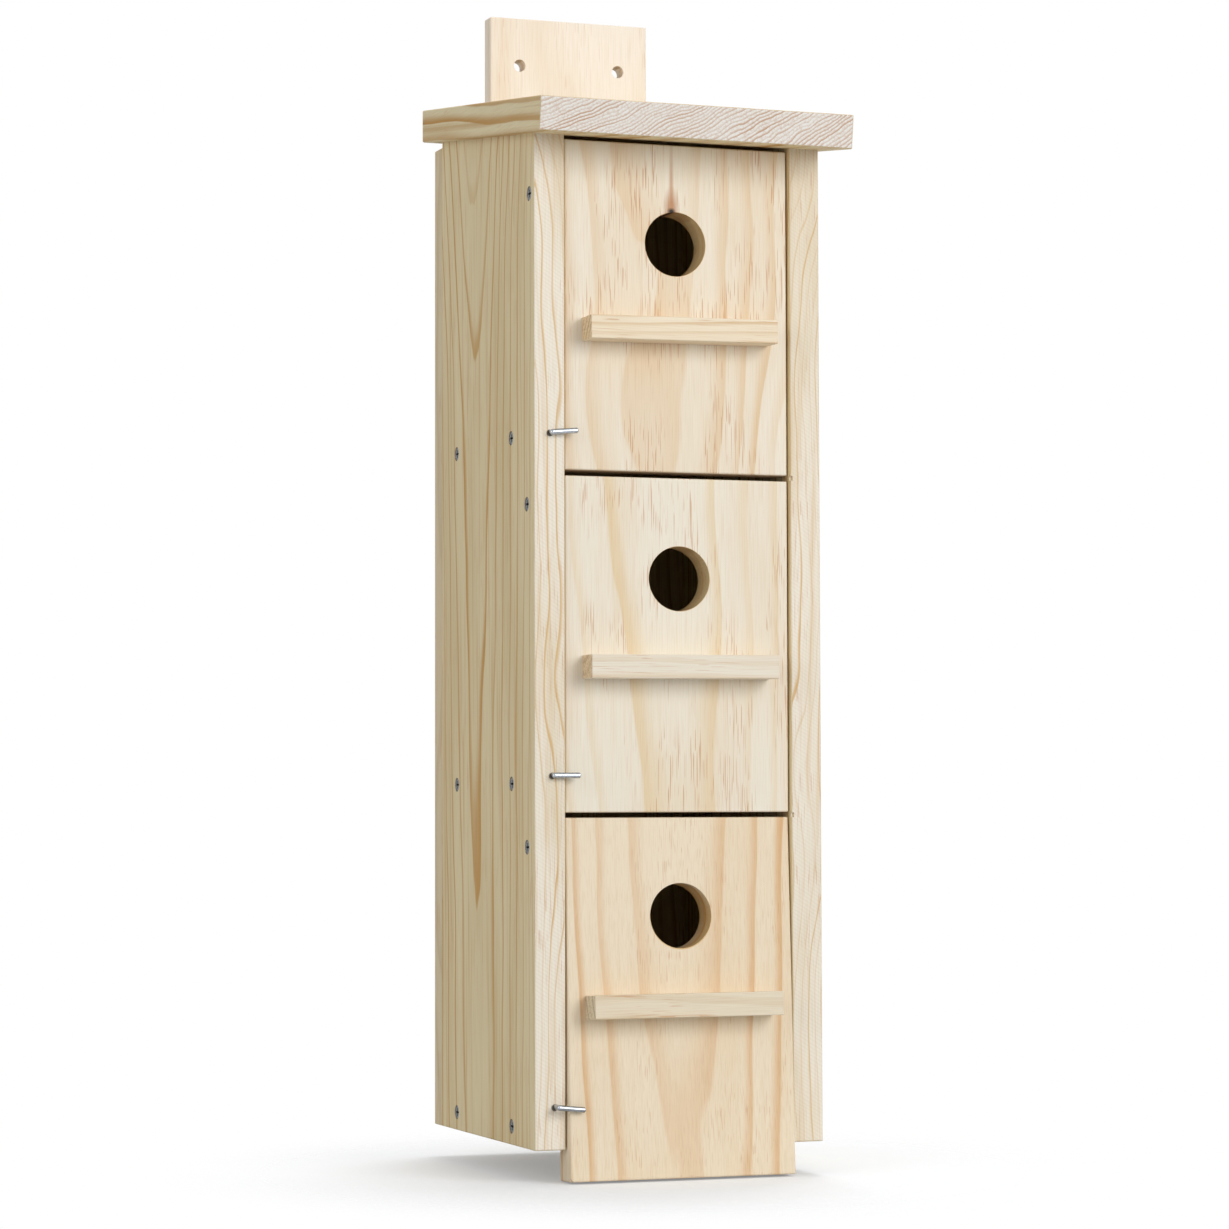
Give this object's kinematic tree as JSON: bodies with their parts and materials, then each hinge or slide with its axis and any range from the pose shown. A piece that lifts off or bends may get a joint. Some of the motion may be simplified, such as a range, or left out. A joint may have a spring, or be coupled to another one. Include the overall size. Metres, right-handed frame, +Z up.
{
  "type": "sparrow nest box",
  "caption": "Tall wooden nest box for sparrows: stacked nest rooms behind hinged doors with round entrances and perches, under a sloping roof.",
  "frame": {"origin": "on the wall, midway between the two hanging holes, on the rear face of the hanging board", "axes": "+X to the right seen from the front, +Y into the wall, +Z up; the doors face -Y"},
  "size_m": [0.174, 0.218, 0.6398],
  "materials": {
    "pine": "unfinished, planed and sanded",
    "zinc_plated_steel": "bright zinc plating"
  },
  "bodies": {
    "box": {"left_side": "pine", "right_side": "pine", "back_panel": "pine", "roof": "pine", "hanging_board": "pine", "bottom_floor": "pine", "middle_floor": "pine", "top_floor": "pine", "bottom_floor_screws": "zinc_plated_steel", "middle_floor_screws": "zinc_plated_steel", "top_floor_screws": "zinc_plated_steel", "roof_screws": "zinc_plated_steel", "back_screws": "zinc_plated_steel", "board_screws": "zinc_plated_steel"},
    "bottom_door": {"bottom_door": "pine", "bottom_perch": "pine", "bottom_hinge_screws": "zinc_plated_steel", "bottom_perch_screws": "zinc_plated_steel"},
    "middle_door": {"middle_door": "pine", "middle_perch": "pine", "middle_hinge_screws": "zinc_plated_steel", "middle_perch_screws": "zinc_plated_steel"},
    "top_door": {"top_door": "pine", "top_perch": "pine", "top_hinge_screws": "zinc_plated_steel", "top_perch_screws": "zinc_plated_steel"},
    "bottom_hook": {"bottom_hook": "zinc_plated_steel"},
    "middle_hook": {"middle_hook": "zinc_plated_steel"},
    "top_hook": {"top_hook": "zinc_plated_steel"}
  },
  "joints": [
    {"name": "bottom_door_hinge", "type": "hinge", "parent": "box", "child": "bottom_door", "pos_m": [0, -0.1742, -0.44077], "axis": [-1, 0, 0], "range_deg": [0, 122]},
    {"name": "middle_door_hinge", "type": "hinge", "parent": "box", "child": "middle_door", "pos_m": [0, -0.1742, -0.26307], "axis": [-1, 0, 0], "range_deg": [0, 125]},
    {"name": "top_door_hinge", "type": "hinge", "parent": "box", "child": "top_door", "pos_m": [0, -0.1785, -0.10147], "axis": [-1, 0, 0], "range_deg": [0, 110]},
    {"name": "bottom_hook_turn", "type": "hinge", "parent": "box", "child": "bottom_hook", "pos_m": [-0.0686, -0.186, -0.57377], "axis": [0, 1, 0], "range_deg": [-90, 90]},
    {"name": "middle_hook_turn", "type": "hinge", "parent": "box", "child": "middle_hook", "pos_m": [-0.0697, -0.186, -0.40377], "axis": [0, 1, 0], "range_deg": [-90, 90]},
    {"name": "top_hook_turn", "type": "hinge", "parent": "box", "child": "top_hook", "pos_m": [-0.0707, -0.186, -0.22647], "axis": [0, 1, 0], "range_deg": [-90, 90]}
  ]
}
